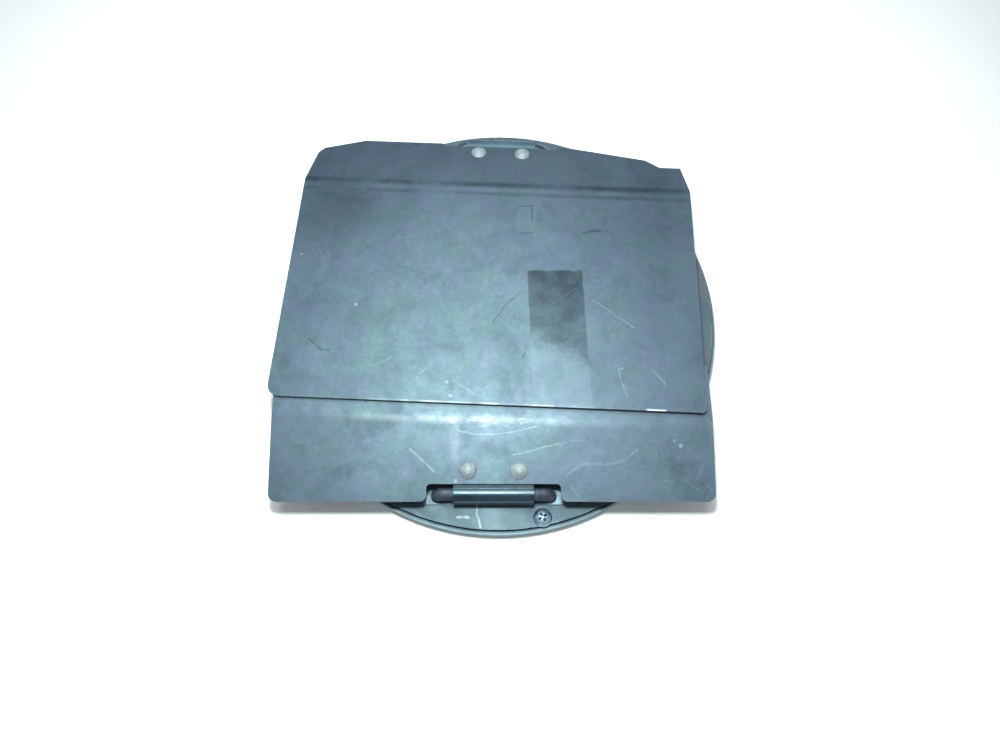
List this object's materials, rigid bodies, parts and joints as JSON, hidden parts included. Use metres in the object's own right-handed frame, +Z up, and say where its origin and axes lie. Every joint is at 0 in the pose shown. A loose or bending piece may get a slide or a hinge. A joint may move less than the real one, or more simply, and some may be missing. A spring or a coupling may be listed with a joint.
{
  "type": "negative carrier",
  "caption": "Round enlarger negative carrier: a two-layer base disc with a film gate and floating pressure frame, closed by two hinged folded-sheet covers that overlap.",
  "frame": {"origin": "centre of the base disc's underside, which rests on the table", "axes": "+Z up out of the disc, +X right along the front hinge axis, +Y from the front (small) cover to the rear (large) cover"},
  "size_m": [0.152, 0.152, 0.0198],
  "materials": {
    "disc_black": "worn satin black",
    "zinc_screw": "bright zinc plate",
    "gate_aluminium": "fine brushed",
    "steel_dark": "dark",
    "bright_steel": "turned",
    "black_anodised": "matt black",
    "stop_rubber": "matt",
    "hinge_steel": "worn",
    "rod_steel": "dull",
    "leaf_black": "semi-gloss black",
    "cover_black": "worn satin black",
    "rivet_metal": "dull"
  },
  "bodies": {
    "base": {"lower_disc": "disc_black", "upper_disc": "disc_black", "disc_screws": "zinc_screw", "gate_plate": "gate_aluminium", "gate_screws": "steel_dark", "film_guides": "gate_aluminium", "guide_rivets": "gate_aluminium", "guide_posts": "bright_steel", "post_clips": "steel_dark", "stop_posts": "bright_steel", "stop_caps": "stop_rubber", "front_hinge_plate": "hinge_steel", "front_hinge_rod": "rod_steel", "front_rod_washers": "hinge_steel", "rear_hinge_plate": "hinge_steel", "rear_hinge_rod": "rod_steel", "rear_rod_washers": "hinge_steel"},
    "pressure_frame": {"pressure_frame": "black_anodised", "lift_tab": "black_anodised", "tab_rivets": "bright_steel"},
    "front_cover": {"front_cover": "cover_black", "front_hinge_leaf": "leaf_black", "front_rivets": "rivet_metal"},
    "rear_cover": {"rear_cover": "cover_black", "rear_hinge_leaf": "leaf_black", "rear_rivets": "rivet_metal"}
  },
  "joints": [
    {"name": "rear_cover_hinge", "type": "hinge", "parent": "base", "child": "rear_cover", "pos_m": [0.001, 0.0663, 0.00991], "axis": [-0.9991, 0.0419, 0], "range_deg": [0, 95]},
    {"name": "front_cover_hinge", "type": "hinge", "parent": "base", "child": "front_cover", "pos_m": [-0.0014, -0.0641, 0.00991], "axis": [1, 0, 0], "range_deg": [0, 95]},
    {"name": "frame_lift", "type": "slide", "parent": "base", "child": "pressure_frame", "axis": [0, 0, 1], "range_m": [0, 0.0032]}
  ],
  "couplings": [
    {"joint": "front_cover_hinge", "follows": "rear_cover_hinge", "ratio": 1}
  ]
}
